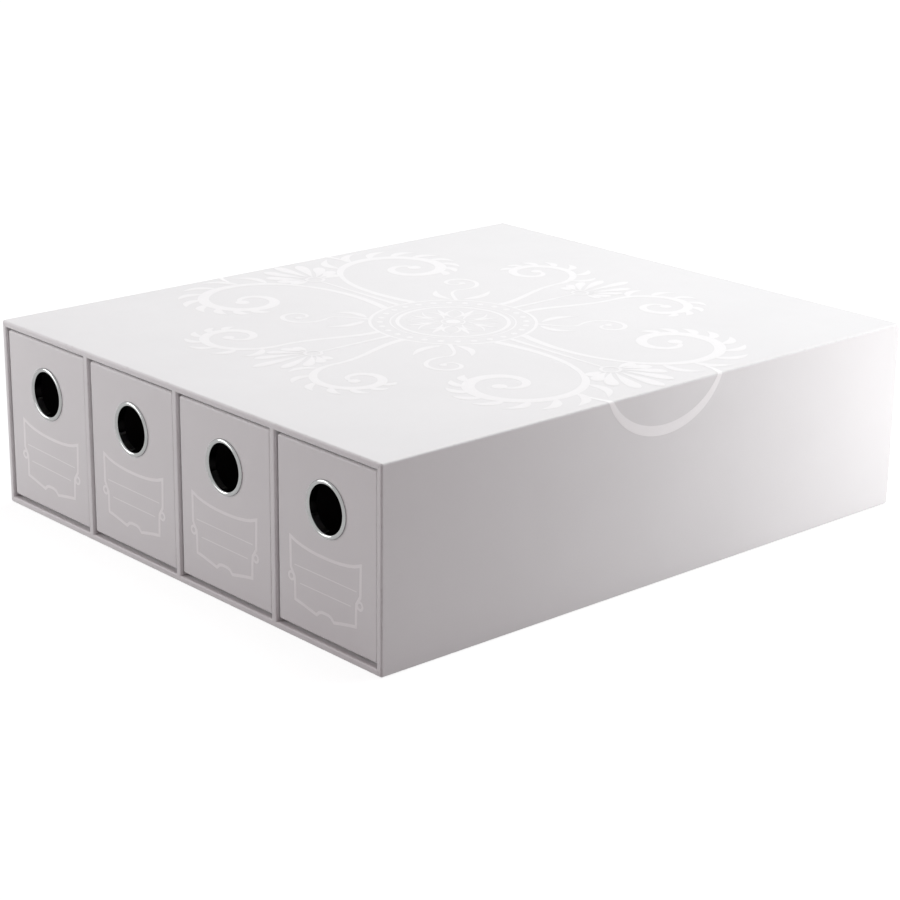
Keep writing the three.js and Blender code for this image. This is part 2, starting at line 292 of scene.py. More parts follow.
def shell_object(name, vertices, faces, material, edge=None):
    """A smooth piece. Edge says at each vertex how near it is to a fold, from 0 to 1."""
    mesh = bpy.data.meshes.new(name)
    mesh.from_pydata(vertices, [], faces)
    mesh.validate()
    mesh.materials.append(material)
    if edge:
        mesh.attributes.new("edge", "FLOAT", "POINT").data.foreach_set("value", edge)
    mesh.shade_smooth()
    piece = bpy.data.objects.new(name, mesh)
    bpy.context.scene.collection.objects.link(piece)
    return piece


def thicken(piece, thickness):
    """Gives an open sheet its thickness, behind the face that shows."""
    sheet = piece.modifiers.new("sheet", "SOLIDIFY")
    sheet.thickness = thickness
    sheet.offset = -1.0
    sheet.use_even_offset = True


def settle(piece):
    """Applies a piece's modifiers, then lets its flat faces set the normals."""
    evaluated = piece.evaluated_get(bpy.context.evaluated_depsgraph_get())
    piece.data = bpy.data.meshes.new_from_object(evaluated)
    piece.modifiers.clear()
    normals = piece.modifiers.new("flat_faces", "WEIGHTED_NORMAL")
    normals.keep_sharp = True
    return piece


def sharpen(piece, angle):
    """Marks the edges where faces meet at more than the angle as sharp."""
    mesh = piece.data
    shape = bmesh.new()
    shape.from_mesh(mesh)
    for line in shape.edges:
        line.smooth = len(line.link_faces) == 2 and line.calc_face_angle() < angle
    shape.to_mesh(mesh)
    shape.free()


def corner_ring(half_u, half_v, radius):
    """Points round a rectangle with rounded corners, each with its share of its corner's turn."""
    points = []
    for corner, (sign_u, sign_v) in enumerate(((1, 1), (-1, 1), (-1, -1), (1, -1))):
        for step in range(CORNER_STEPS + 1):
            share = step / CORNER_STEPS
            angle = (corner + share) * QUARTER
            u = sign_u * (half_u - radius) + radius * math.cos(angle)
            v = sign_v * (half_v - radius) + radius * math.sin(angle)
            points.append((u, v, share))
    return points


class Level:
    """One ring of a loft: its half sizes, how far along the axis, and how it meets the corners."""

    def __init__(self, half, along, radius=FOLD_RADIUS, fold=0.0, mitre=0.0, corner=0.0):
        self.half = half
        self.along = along
        self.radius = radius
        self.fold = fold
        self.mitre = mitre
        self.corner = corner


def grown(half, by):
    return (half[0] + by, half[1] + by)


def mouth_levels(half, front, inward, radius, mitre):
    """From the inside wall round the mouth to the rim. Inward is the way into the hollow, 1 or -1."""
    levels = []
    for step in range(EDGE_STEPS + 1):
        angle = QUARTER * step / EDGE_STEPS
        levels.append(Level(
            grown(half, radius * (1 - math.cos(angle))),
            front + inward * radius * (1 - math.sin(angle)),
            fold=math.sin(2 * angle),
            mitre=mitre * math.sin(angle),
        ))
    return levels


def edge_levels(half, end, inward, radius, mitre=0.0):
    """From a flat end round its outer edge to the sides. Inward is the way into the body, 1 or -1."""
    levels = []
    for step in range(EDGE_STEPS + 1):
        angle = QUARTER * step / EDGE_STEPS
        levels.append(Level(
            grown(half, -radius * (1 - math.sin(angle))),
            end + inward * radius * (1 - math.cos(angle)),
            radius=max(FOLD_RADIUS, radius * math.sin(angle)),
            fold=math.sin(2 * angle),
            mitre=mitre * math.cos(angle),
            corner=math.sin(angle),
        ))
    return levels


def loft(levels, place, flip):
    """Joins the levels into a sheet that is closed at its last level."""
    vertices, edge = [], []
    for level in levels:
        for u, v, share in corner_ring(*level.half, level.radius):
            groove = level.mitre * (1 - abs(2 * share - 1))
            vertices.append(place(u, v, level.along + groove))
            edge.append(max(level.fold, level.corner * math.sin(math.pi * share)))
    count = 4 * (CORNER_STEPS + 1)
    faces = []
    for ring in range(len(levels) - 1):
        for index in range(count):
            low = ring * count + index
            low_next = ring * count + (index + 1) % count
            faces.append((low, low_next, low_next + count, low + count))
    last = (len(levels) - 1) * count
    faces.append(tuple(range(last, last + count)))
    if flip:
        faces = [tuple(reversed(face)) for face in faces]
    return vertices, faces, edge


def middle(low, high):
    return (low + high) / 2


# The case's paper

case_low, case_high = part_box("case_wrap")
lining_low, lining_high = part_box("case_lining")
clear_low = lining_low + Vector((PAPER, PAPER, PAPER))
clear_high = lining_high - Vector((PAPER, PAPER, PAPER))
case_middle = middle(case_low, case_high)
skin_half = ((case_high.x - case_low.x) / 2 - INK_ROOM, (case_high.z - case_low.z) / 2 - INK_ROOM)
clear_half = ((clear_high.x - clear_low.x) / 2, (clear_high.z - clear_low.z) / 2)
case_front = case_low.y + INK_ROOM
case_back = case_high.y - INK_ROOM
turn_in_end = lining_low.y - SEAM


def case_paper(material):
    levels = [Level(clear_half, turn_in_end)]
    levels += mouth_levels(clear_half, case_front, 1, CASE_MOUTH, MITRE_DEPTH / 2)
    levels += edge_levels(skin_half, case_front, 1, CASE_EDGE, MITRE_DEPTH)
    levels += reversed(edge_levels(skin_half, case_back, -1, CASE_EDGE))
    vertices, faces, edge = loft(
        levels, lambda u, v, along: (case_middle.x + u, along, case_middle.z + v), True,
    )
    piece = shell_object("case_paper", vertices, faces, material, edge)
    thicken(piece, PAPER)
    return settle(piece)


# Dividers' paper

def divider_paper(number, material):
    """A sheet folded round the divider's front edge, its ends following the rim that it meets."""
    low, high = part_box(f"divider_{number}_wrap")
    centre = middle(low.x, high.x)
    half = (high.x - low.x) / 2
    plan = []
    steps = 2 * EDGE_STEPS
    for side in (-1, 1):
        path = [(half, high.y)]
        path += [(half, case_front + CASE_MOUTH * row) for row in DIVIDER_ROWS]
        for step in range(steps + 1):
            angle = QUARTER * step / steps
            path.append((
                half - DIVIDER_EDGE * (1 - math.cos(angle)),
                case_front + DIVIDER_EDGE * (1 - math.sin(angle)),
            ))
        if side > 0:
            path.reverse()
        plan += [(side * across, along) for across, along in path]
    vertices, faces, edge = [], [], []
    for across, along in plan:
        into = max(0.0, 1 - (along - case_front) / CASE_MOUTH)
        flare = CASE_MOUTH * (1 - math.sqrt(1 - into * into))
        vertices.append((centre + across, along, clear_low.z + GLUE_GAP - flare))
        vertices.append((centre + across, along, clear_high.z - GLUE_GAP + flare))
        turn = min(1.0, max(0.0, (half - abs(across)) / DIVIDER_EDGE))
        edge += [math.sin(math.pi * turn)] * 2
    for index in range(len(plan) - 1):
        start = 2 * index
        faces.append((start, start + 2, start + 3, start + 1))
    piece = shell_object(f"divider_{number}_paper", vertices, faces, material, edge)
    thicken(piece, PAPER)
    return settle(piece)


# Drawers' paper

def finger_hole_cutter(number):
    """A cylinder across the drawer's front, as wide as the hole in its paper."""
    low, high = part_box(f"drawer_{number}_ring_front")
    radius = (high.x - low.x) / 2 - RING_FLANGE + HOLE_CLEARANCE
    centre = middle(low, high)
    bpy.ops.mesh.primitive_cylinder_add(
        vertices=RING_TURNS, radius=radius, depth=HOLE_CUT,
        location=centre, rotation=(QUARTER, 0, 0),
    )
    return bpy.context.object


def drawer_paper(number, material):
    low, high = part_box(f"drawer_{number}_wrap")
    inner_low, inner_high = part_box(f"drawer_{number}_lining")
    centre = middle(low, high)
    outer_half = ((high.x - low.x) / 2, (high.y - low.y) / 2)
    inner_half = ((inner_high.x - inner_low.x) / 2 - PAPER, (inner_high.y - inner_low.y) / 2 - PAPER)
    levels = [Level(inner_half, inner_high.z + SEAM)]
    levels += mouth_levels(inner_half, high.z, -1, DRAWER_MOUTH, -MITRE_DEPTH / 2)
    levels += edge_levels(outer_half, high.z, -1, DRAWER_EDGE, -MITRE_DEPTH)
    levels += reversed(edge_levels(outer_half, low.z, 1, DRAWER_EDGE))
    vertices, faces, edge = loft(
        levels, lambda u, v, along: (centre.x + u, centre.y + v, along), True,
    )
    piece = shell_object(f"drawer_{number}_paper", vertices, faces, material, edge)
    thicken(piece, PAPER)
    cutter = finger_hole_cutter(number)
    hole = piece.modifiers.new("finger_hole", "BOOLEAN")
    hole.operation = "DIFFERENCE"
    hole.solver = "EXACT"
    hole.object = cutter
    settle(piece)
    bpy.data.objects.remove(cutter)
    return piece


# Finger rings

def crown(inner, outer, foot, rise):
    """A half-oval over from the inner foot to the outer foot, in radius and depth."""
    points = []
    for step in range(CROWN_STEPS + 1):
        angle = math.pi * step / CROWN_STEPS
        radius = middle(inner, outer) - (outer - inner) / 2 * math.cos(angle)
        points.append((radius, foot + rise * math.sin(angle)))
    return points


def turned(name, profile, centre, material):
    """A closed profile of radius and depth, turned about an axis along Y."""
    vertices, faces = [], []
    count = len(profile)
    for turn in range(RING_TURNS):
        angle = 2 * math.pi * turn / RING_TURNS
        for radius, depth in profile:
            vertices.append((
                centre[0] + radius * math.cos(angle), depth, centre[1] + radius * math.sin(angle),
            ))
        for index in range(count):
            low = turn * count
            high = (turn + 1) % RING_TURNS * count
            step = (index + 1) % count
            faces.append((low + index, low + step, high + step, high + index))
    return shell_object(name, vertices, faces, material)


def ring_pieces(number, material):
    """The rolled eyelet through the drawer's front, and the ring that it is clinched over."""
    low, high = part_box(f"drawer_{number}_ring_front")
    back_low, back_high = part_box(f"drawer_{number}_ring_back")
    centre = (middle(low.x, high.x), middle(low.z, high.z))
    outer = (high.x - low.x) / 2
    bore = outer - RING_FLANGE
    front_foot = low.y + RING_CROWN
    back_foot = high.y - CLINCH_CROWN
    barrel = bore + RING_SHEET
    clinch = bore + CLINCH_WIDTH
    profile = crown(bore, outer, front_foot, -RING_CROWN)
    profile += reversed(crown(barrel, outer - RING_SHEET, front_foot, RING_SHEET - RING_CROWN))
    profile += crown(barrel, clinch - RING_SHEET, back_foot, CLINCH_CROWN - RING_SHEET)
    profile += reversed(crown(bore, clinch, back_foot, CLINCH_CROWN))
    eyelet = turned(f"drawer_{number}_eyelet", profile, centre, material)
    sharpen(eyelet, EYELET_CREASE)
    backing_outer = (back_high.x - back_low.x) / 2
    inner = barrel + RING_SEAT
    plate = [
        (inner, back_low.y),
        (backing_outer, back_low.y),
        (backing_outer, back_high.y - BACKING_CHAMFER),
        (backing_outer - BACKING_CHAMFER, back_high.y),
        (inner, back_high.y),
    ]
    backing = turned(f"drawer_{number}_backing_ring", plate, centre, material)
    sharpen(backing, BACKING_CREASE)
    return eyelet, backing


# Prints: flat shapes in millimetres, laid on the paper as thin closed films of ink

MITRE_LIMIT = 0.35
BAND_STEPS = 72
SPOT_STEPS = 24
LEAF_STEPS = 20
LEAF_FULLNESS = 0.8
LEAF_ROUNDNESS = 0.9
TIP_WIDTH = 0.25


def share_of(low, high, share):
    return low + (high - low) * share


def around(centre, radius, angle):
    """The point at a distance from a centre, in the direction of an angle."""
    return (centre[0] + radius * math.cos(angle), centre[1] + radius * math.sin(angle))


class Print:
    """Flat outlines across (u) and along (v), in layers so that crossing lines don't share a plane."""

    def __init__(self):
        self.points = []
        self.faces = []

    def strip(self, left, right, layer, closed=False):
        """The area between two rows of points."""
        first = len(self.points)
        for pair in zip(left, right):
            self.points += [(u, v, layer) for u, v in pair]
        count = len(left)
        for index in range(count if closed else count - 1):
            low = first + 2 * index
            high = first + 2 * ((index + 1) % count)
            self.faces.append((low, low + 1, high + 1, high))

    def ribbon(self, path, widths, layer):
        """A line along a path, as wide at each point as its width says."""
        left, right = [], []
        last = len(path) - 1
        for index, (u, v) in enumerate(path):
            before, after = path[max(0, index - 1)], path[min(last, index + 1)]
            along_u, along_v = after[0] - before[0], after[1] - before[1]
            length = math.hypot(along_u, along_v)
            side_u, side_v = -along_v / length, along_u / length
            half = widths[index] / 2
            left.append((u + side_u * half, v + side_v * half))
            right.append((u - side_u * half, v - side_v * half))
        self.strip(left, right, layer)

    def frame_line(self, corners, width, layer):
        """A line of one width round a closed outline, with mitred corners."""
        inner, outer = [], []
        count = len(corners)
        for index, (u, v) in enumerate(corners):
            before, after = corners[index - 1], corners[(index + 1) % count]
            first = Vector((u - before[0], v - before[1])).normalized()
            second = Vector((after[0] - u, after[1] - v)).normalized()
            bisector = Vector((-first.y - second.y, first.x + second.x)).normalized()
            reach = width / 2 / max(MITRE_LIMIT, bisector.dot(Vector((-first.y, first.x))))
            inner.append((u + bisector.x * reach, v + bisector.y * reach))
            outer.append((u - bisector.x * reach, v - bisector.y * reach))
        self.strip(inner, outer, layer, closed=True)

    def band(self, centre, radius, width, layer):
        angles = [2 * math.pi * step / BAND_STEPS for step in range(BAND_STEPS)]
        inner = [around(centre, radius - width / 2, angle) for angle in angles]
        outer = [around(centre, radius + width / 2, angle) for angle in angles]
        self.strip(inner, outer, layer, closed=True)

    def spot(self, centre, radius, layer):
        first = len(self.points)
        for step in range(SPOT_STEPS):
            self.points.append((*around(centre, radius, 2 * math.pi * step / SPOT_STEPS), layer))
        self.faces.append(tuple(range(first, first + SPOT_STEPS)))

    def leaf(self, base, tip, lean, width, layer, fullness=LEAF_FULLNESS, roundness=LEAF_ROUNDNESS):
        """A leaf bowed sideways by its lean. More fullness moves its widest part to its tip."""
        along_u, along_v = tip[0] - base[0], tip[1] - base[1]
        path, widths = [], []
        for step in range(LEAF_STEPS + 1):
            share = step / LEAF_STEPS
            bow = lean * math.sin(math.pi * share)
            path.append((
                base[0] + along_u * share - along_v * bow,
                base[1] + along_v * share + along_u * bow,
            ))
            widths.append(TIP_WIDTH + width * math.sin(math.pi * share ** fullness) ** roundness)
        self.ribbon(path, widths, layer)

    def mirrored(self, sign_u, sign_v):
        copy = Print()
        copy.points = [(sign_u * u, sign_v * v, layer) for u, v, layer in self.points]
        copy.faces = list(self.faces)
        return copy

    def add(self, other):
        first = len(self.points)
        self.points += other.points
        self.faces += [tuple(first + index for index in face) for face in other.faces]


def film(name, shape, place, folds, material):
    """The print as a mesh. Place turns (u, v, height above the paper), in metres, into a point."""
    flat = bmesh.new()
    corners = [
        flat.verts.new((u * MM, v * MM, INK_LIFT + layer * INK_LAYER)) for u, v, layer in shape.points
    ]
    for face in shape.faces:
        flat.faces.new([corners[index] for index in face])
    bmesh.ops.recalc_face_normals(flat, faces=flat.faces)
    for face in flat.faces:
        if face.normal.z < 0:
            face.normal_flip()
    for fold in folds:
        everything = flat.verts[:] + flat.edges[:] + flat.faces[:]
        bmesh.ops.bisect_plane(flat, geom=everything, plane_co=(fold, 0, 0), plane_no=(1, 0, 0))
    for corner in flat.verts:
        corner.co = place(*corner.co)
    mesh = bpy.data.meshes.new(name)
    flat.to_mesh(mesh)
    flat.free()
    mesh.materials.append(material)
    piece = bpy.data.objects.new(name, mesh)
    bpy.context.scene.collection.objects.link(piece)
    thicken(piece, INK_FILM)
    return settle(piece)


# Label frame on each drawer front: a plain write-on field, in mm from the frame's middle

FRAME_LINE = 1.75
FRAME_TOP_SIDE = [
    (0.0, 12.4), (6.0, 12.5), (12.0, 12.9), (18.0, 13.7), (23.0, 14.8), (27.9, 16.6),
]
FRAME_SIDE = [(27.6, 0.0), (26.2, -2.2), (24.6, -4.6), (24.3, -8.0), (24.1, -16.9)]
FRAME_FOOT = [(18.0, -17.9), (12.0, -19.1), (6.9, -20.2), (4.6, -18.2), (2.6, -17.6), (0.0, -17.5)]
LUG_PLACE = (27.2, -4.9)
LUG_RADIUS = 2.05
LUG_LINE = 1.4
WRITING_LINES = [(24.6, 2.0), (20.2, -7.1)]
WRITING_LINE = 0.55
FRAME_LAYER = 0
LUG_LAYER = 1

# Where each frame was printed, as measured on the photograph: across from its drawer's middle
# and up from the ground in mm, and turned in degrees
FRAME_PLACES = {
    1: (1.0, 38.0, -2.0),
    2: (-0.4, 38.8, -0.8),
    3: (-1.3, 38.7, -0.6),
    4: (-1.3, 38.0, -0.2),
}


def label_print(number, material):
    half = FRAME_TOP_SIDE + FRAME_SIDE + FRAME_FOOT
    left = [(-u, v) for u, v in reversed(half) if u > 0]
    shape = Print()
    shape.frame_line(half + left, FRAME_LINE, FRAME_LAYER)
    for side in (-1, 1):
        shape.band((side * LUG_PLACE[0], LUG_PLACE[1]), LUG_RADIUS, LUG_LINE, LUG_LAYER)
    for reach, height in WRITING_LINES:
        shape.ribbon([(-reach, height), (reach, height)], [WRITING_LINE, WRITING_LINE], FRAME_LAYER)
    low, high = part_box(f"drawer_{number}_wrap")
    across, up, turned_by = FRAME_PLACES[number]
    middle_x = middle(low.x, high.x) + across * MM
    turn = math.radians(turned_by)

    def place(u, v, height):
        return (
            middle_x + u * math.cos(turn) - v * math.sin(turn),
            low.y - height,
            up * MM + u * math.sin(turn) + v * math.cos(turn),
        )

    return film(f"drawer_{number}_label_print", shape, place, [], material)


# Scroll ornament on the top of the case, in mm from its middle: a rosette with mirrored volutes,
# leaves and palmettes, and a festoon over each side's edge. Angles are in degrees.

SCROLL_STEPS = 90
STEM_STEPS = 44

# Layers of ink, low to high: lines that cross lie in layers of their own
RING_LAYER = 0
STEM_LAYER = 1
SPIRAL_LAYER = 2
LEAF_LAYER = 3
PALMETTE_STEM_LAYER = 4
LOBE_LAYER = 5
LOBE_LAYERS = 3
FESTOON_LAYER = 6
FOOT_LAYER = 8

# Leaves on the outer side of a volute: the first one's share of the spiral, how far off the line
# they start, how far ahead their tips are, how far they bow and how much shorter they get
FIRST_LEAF = 0.05
LEAF_FOOT = 1.5
LEAF_LEAD = 24
LEAF_LEAN = 0.2
LEAF_SHRINK = 0.45

# A volute's line: a power below 1 brings its thickest part nearer to its start, and the first
# share of the spiral gives the way in which its stem ends
SWELL_POWER = 0.7
STEM_TANGENT = 0.01

# Rosette: each leaf from one distance off the middle to another, the narrow ones in pairs with
# a lean and a layer each
ROSETTE_MIDDLE = (0, 0)
ROSETTE_LEAVES = 8
NARROW_LEAF = (8, 27)
NARROW_WIDTH = 1.3
NARROW_PAIR = ((-0.26, 1), (0.26, 2))
BROAD_LEAF = (13, 28)
BROAD_WIDTH = 2.6
ROSETTE_BEAD = 4.2
ROSETTE_RINGS = ((6.8, 1.0), (32.5, 2.2), (36.6, 0.9), (48.5, 1.8))
RIM_BEADS = 28
RIM_BEAD_CIRCLE = 42.6
RIM_BEAD = 1.9

# Palmettes: the lobes' lengths go from one side of the fan to the other
PALMETTE_SPREAD = 84
PALMETTE_STEM_START = 49
LOBE_FOOT = 5
LOBE_LEAN = 0.12
LOBE_FULLNESS = 2.4
LOBE_ROUNDNESS = 0.55
ACROSS_PALMETTE = {
    "foot": 128,
    "lobes": (18, 24, 31, 37, 40, 37, 31, 24, 18),
    "lobe_width": 7.4,
    "ring": 5.4,
    "ring_line": 1.8,
    "stem_end": 123,
    "stem_widths": (3.4, 1.4),
}
ALONG_PALMETTE = {
    "foot": 104,
    "lobes": (16, 20, 26, 34, 42, 34, 26, 20, 16),
    "lobe_width": 5.8,
    "ring": 4.8,
    "ring_line": 1.6,
    "stem_end": 99.5,
    "stem_widths": (3.0, 1.4),
}

# Festoons: how far out their ends are, how far they hang from there, and half their length
FESTOON_START = 157
FESTOON_DROP = 36
FESTOON_REACH = 45
FESTOON_WIDTHS = (1.6, 5.8)


def curve(points, share):
    """A point on the cubic curve that four points steer."""
    rest = 1 - share
    weights = (rest ** 3, 3 * rest ** 2 * share, 3 * rest * share ** 2, share ** 3)
    return tuple(sum(w * point[axis] for w, point in zip(weights, points)) for axis in (0, 1))


class Volute:
    """A spiral that winds in to a bead, with turns below zero for clockwise."""

    def __init__(self, centre, outer, inner, start, turns):
        self.centre = centre
        self.outer = outer
        self.inner = inner
        self.start = start
        self.turns = turns

    def at(self, share, beyond=0.0, lead=0.0):
        """A point on the spiral, or beyond it and further on by a lead in degrees."""
        radius = self.outer * (self.inner / self.outer) ** share + beyond
        angle = math.radians(self.start + 360 * self.turns * share + math.copysign(lead, self.turns))
        return around(self.centre, radius, angle)

    def draw(self, shape, ends, swell, bead):
        """The spiral's line, as wide as its ends say with a swell between them, and its bead."""
        path, widths = [], []
        for step in range(SCROLL_STEPS + 1):
            share = step / SCROLL_STEPS
            path.append(self.at(share))
            widths.append(share_of(*ends, share) + swell * math.sin(math.pi * share ** SWELL_POWER))
        shape.ribbon(path, widths, SPIRAL_LAYER)
        shape.spot(path[-1], bead, SPIRAL_LAYER + 1)

    def leaves(self, shape, count, last, reach, width):
        """Leaves along the outer side, each a little shorter than the one before."""
        for index in range(count):
            share = share_of(FIRST_LEAF, last, index / (count - 1))
            size = reach * (1 - LEAF_SHRINK * index / (count - 1))
            lean = math.copysign(LEAF_LEAN, -self.turns)
            base, tip = self.at(share, LEAF_FOOT), self.at(share, size, LEAF_LEAD)
            shape.leaf(base, tip, lean, width, LEAF_LAYER + index % 2)

    def stem(self, shape, start, pull, reach, widths):
        """A stem that runs into the spiral without a kink."""
        end, after = self.at(0.0), self.at(STEM_TANGENT)
        length = math.hypot(after[0] - end[0], after[1] - end[1])
        back = tuple(end[axis] - (after[axis] - end[axis]) * reach / length for axis in (0, 1))
        path, sizes = [], []
        for step in range(STEM_STEPS + 1):
            share = step / STEM_STEPS
            path.append(curve((start, pull, back, end), share))
            sizes.append(share_of(*widths, share))
        shape.ribbon(path, sizes, STEM_LAYER)


def ornament_quarter():
    """Two volutes and a tendril with their stems, and two leaves between them."""
    quarter = Print()
    large = Volute(centre=(112, 62), outer=46, inner=6, start=-76, turns=1.45)
    large.draw(quarter, ends=(3.0, 1.6), swell=4.6, bead=4.2)
    large.leaves(quarter, count=9, last=0.42, reach=15.0, width=5.2)
    large.stem(quarter, start=(48, 11), pull=(72, 5), reach=26, widths=(5.0, 3.0))
    small = Volute(centre=(54, 116), outer=31, inner=5, start=196, turns=-1.35)
    small.draw(quarter, ends=(2.4, 1.4), swell=3.6, bead=3.4)
    small.leaves(quarter, count=7, last=0.42, reach=12.0, width=4.4)
    small.stem(quarter, start=(11, 48), pull=(10, 66), reach=22, widths=(4.2, 2.4))
    tendril = Volute(centre=(66, 62), outer=17, inner=3.5, start=215, turns=-1.2)
    tendril.draw(quarter, ends=(1.4, 0.9), swell=1.5, bead=2.2)
    tendril.stem(quarter, start=(35, 34), pull=(41, 38), reach=9, widths=(2.4, 1.4))
    quarter.leaf(base=(39, 33), tip=(60, 40), lean=-0.18, width=4.4, layer=LEAF_LAYER)
    quarter.leaf(base=(34, 39), tip=(38, 64), lean=0.14, width=4.4, layer=LEAF_LAYER + 1)
    return quarter


def rosette(shape):
    """A star of leaves round a bead, in rings with a circle of beads between them."""
    turn = 360 / ROSETTE_LEAVES
    for index in range(ROSETTE_LEAVES):
        angle = math.radians(turn * index)
        between = math.radians(turn * index + turn / 2)
        narrow = [around(ROSETTE_MIDDLE, radius, angle) for radius in NARROW_LEAF]
        broad = [around(ROSETTE_MIDDLE, radius, between) for radius in BROAD_LEAF]
        for lean, layer in NARROW_PAIR:
            shape.leaf(*narrow, lean, NARROW_WIDTH, layer)
        shape.leaf(*broad, 0.0, BROAD_WIDTH, LEAF_LAYER)
    shape.spot(ROSETTE_MIDDLE, ROSETTE_BEAD, RING_LAYER)
    for radius, width in ROSETTE_RINGS:
        shape.band(ROSETTE_MIDDLE, radius, width, RING_LAYER)
    for index in range(RIM_BEADS):
        place = around(ROSETTE_MIDDLE, RIM_BEAD_CIRCLE, 2 * math.pi * index / RIM_BEADS)
        shape.spot(place, RIM_BEAD, RING_LAYER)


def palmette(shape, aim, axis, foot, lobes, lobe_width, ring, ring_line, stem_end, stem_widths):
    """Blunt lobes that fan out from a ringed foot, at the end of a stem from the rosette."""
    base = (axis[0] * foot, axis[1] * foot)
    for index, length in enumerate(lobes):
        turn = share_of(-1, 1, index / (len(lobes) - 1))
        angle = math.radians(aim + PALMETTE_SPREAD * turn)
        start, tip = around(base, LOBE_FOOT, angle), around(base, length, angle)
        layer = LOBE_LAYER + index % LOBE_LAYERS
        shape.leaf(start, tip, LOBE_LEAN * turn, lobe_width, layer, LOBE_FULLNESS, LOBE_ROUNDNESS)
    shape.band(base, ring, ring_line, FOOT_LAYER)
    stem = [(axis[0] * reach, axis[1] * reach) for reach in (PALMETTE_STEM_START, stem_end)]
    shape.ribbon(stem, stem_widths, PALMETTE_STEM_LAYER)


def case_ornament():
    shape = Print()
    quarter = ornament_quarter()
    for sign_u in (-1, 1):
        for sign_v in (-1, 1):
            shape.add(quarter.mirrored(sign_u, sign_v))
    rosette(shape)
    for side in (-1, 1):
        palmette(shape, 90 - 90 * side, (side, 0), **ACROSS_PALMETTE)
        palmette(shape, 90 * side, (0, side), **ALONG_PALMETTE)
    return shape


def case_festoons():
    """Half an oval that hangs over each side's edge, thin at its ends and thick in its middle."""
    shape = Print()
    for side in (-1, 1):
        path, widths = [], []
        for step in range(STEM_STEPS + 1):
            angle = math.pi * (step / STEM_STEPS - 0.5)
            out = FESTOON_START + FESTOON_DROP * math.cos(angle)
            path.append((side * out, FESTOON_REACH * math.sin(angle)))
            widths.append(share_of(*FESTOON_WIDTHS, math.cos(angle)))
        shape.ribbon(path, widths, FESTOON_LAYER)
    return shape


def case_film(name, shape, material):
    """A print on the case's top that follows the folds down its sides."""
    top = case_middle.z + skin_half[1]
    edge_start = skin_half[0] - CASE_EDGE
    bend = CASE_EDGE * QUARTER
    rows = [edge_start + bend * step / EDGE_STEPS for step in range(EDGE_STEPS + 1)]
    folds = [side * row for side in (-1, 1) for row in rows]

    def place(u, v, height):
        beyond = abs(u) - edge_start
        if beyond <= 0:
            return (case_middle.x + u, case_middle.y + v, top + height)
        angle = min(beyond / CASE_EDGE, QUARTER)
        radius = CASE_EDGE + height
        across = edge_start + radius * math.sin(angle)
        down = CASE_EDGE - radius * math.cos(angle) + max(0.0, beyond - bend)
        return (case_middle.x + math.copysign(across, u), case_middle.y + v, top - down)

    return film(name, shape, place, folds, material)


# Pieces, and the finish of each CAD node that shows

paper_material = wrap_paper()
ornament_ink = print_ink("ornament_ink", ORNAMENT_TONES, gloss=0.05)
label_ink = print_ink("label_ink", LABEL_TONES, gloss=0.5)
black_material = lining_paper()
board_material = greyboard()
card_material = pale_card()
metal_material = ring_metal()

case_piece = case_paper(paper_material)
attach(case_piece, "case")
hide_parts("case_wrap")

for name, shape, ink in (
    ("case_print", case_ornament(), ornament_ink),
    ("case_festoon_print", case_festoons(), label_ink),
):
    ornament = case_film(name, shape, ink)
    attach(ornament, "case")

for number in DIVIDERS:
    divider = divider_paper(number, paper_material)
    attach(divider, "case")
    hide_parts(f"divider_{number}_wrap")

for number in DRAWERS:
    body = f"drawer_{number}"
    drawer = drawer_paper(number, paper_material)
    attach(drawer, body)
    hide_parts(f"{body}_wrap")
    label = label_print(number, label_ink)
    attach(label, body)
    eyelet, backing = ring_pieces(number, metal_material)
    for ring, node in ((eyelet, "ring_front"), (backing, "ring_back")):
        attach(ring, body)
        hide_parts(f"{body}_{node}")

for name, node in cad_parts.items():
    if name.endswith("_board"):
        finish = board_material
    elif name.endswith("_card"):
        finish = card_material
    elif name.startswith("drawer") and name.endswith("_lining"):
        finish = black_material
    else:
        finish = paper_material
    node.data.materials.clear()
    node.data.materials.append(finish)


# Studio

# The floor throws light back by its tone. The camera sees its glow and shade, and from the
# shadow's reach outwards it brightens until it is white.
FLOOR_SIZE = 12.0
FLOOR_GLOW = 0.90
FLOOR_SHADE = 0.20
FLOOR_TONE = 0.50
SHADOW_REACH = 0.45
WHITE_FROM = 1.1
BACKGROUND = 1.0
AMBIENT = 0.21
AMBIENT_TINT = (1.0, 0.750, 0.807)
OVERHEAD_TINT = (0.949, 1.0, 0.993)


def grey(level):
    return (level, level, level, 1.0)


def light_share(tree):
    """1 for rays from the camera, off gloss or through glass, and 0 for other light."""
    path = tree.nodes.new("ShaderNodeLightPath")
    share = path.outputs["Is Camera Ray"]
    for kind in ("Is Glossy Ray", "Is Transmission Ray"):
        add = tree.nodes.new("ShaderNodeMath")
        add.operation = "MAXIMUM"
        tree.links.new(share, add.inputs[0])
        tree.links.new(path.outputs[kind], add.inputs[1])
        share = add.outputs["Value"]
    return share


def studio_world():
    world = bpy.data.worlds.new("studio")
    bpy.context.scene.world = world
    world.use_nodes = True
    tree = world.node_tree
    tree.nodes.clear()
    output = tree.nodes.new("ShaderNodeOutputWorld")
    mix = tree.nodes.new("ShaderNodeMixShader")
    tree.links.new(light_share(tree), mix.inputs["Fac"])
    for index, colour, strength in ((1, AMBIENT_TINT, AMBIENT), (2, WHITE, BACKGROUND)):
        sky = tree.nodes.new("ShaderNodeBackground")
        sky.inputs["Color"].default_value = (*colour, 1.0)
        sky.inputs["Strength"].default_value = strength
        tree.links.new(sky.outputs["Background"], mix.inputs[index])
    tree.links.new(mix.outputs["Shader"], output.inputs["Surface"])


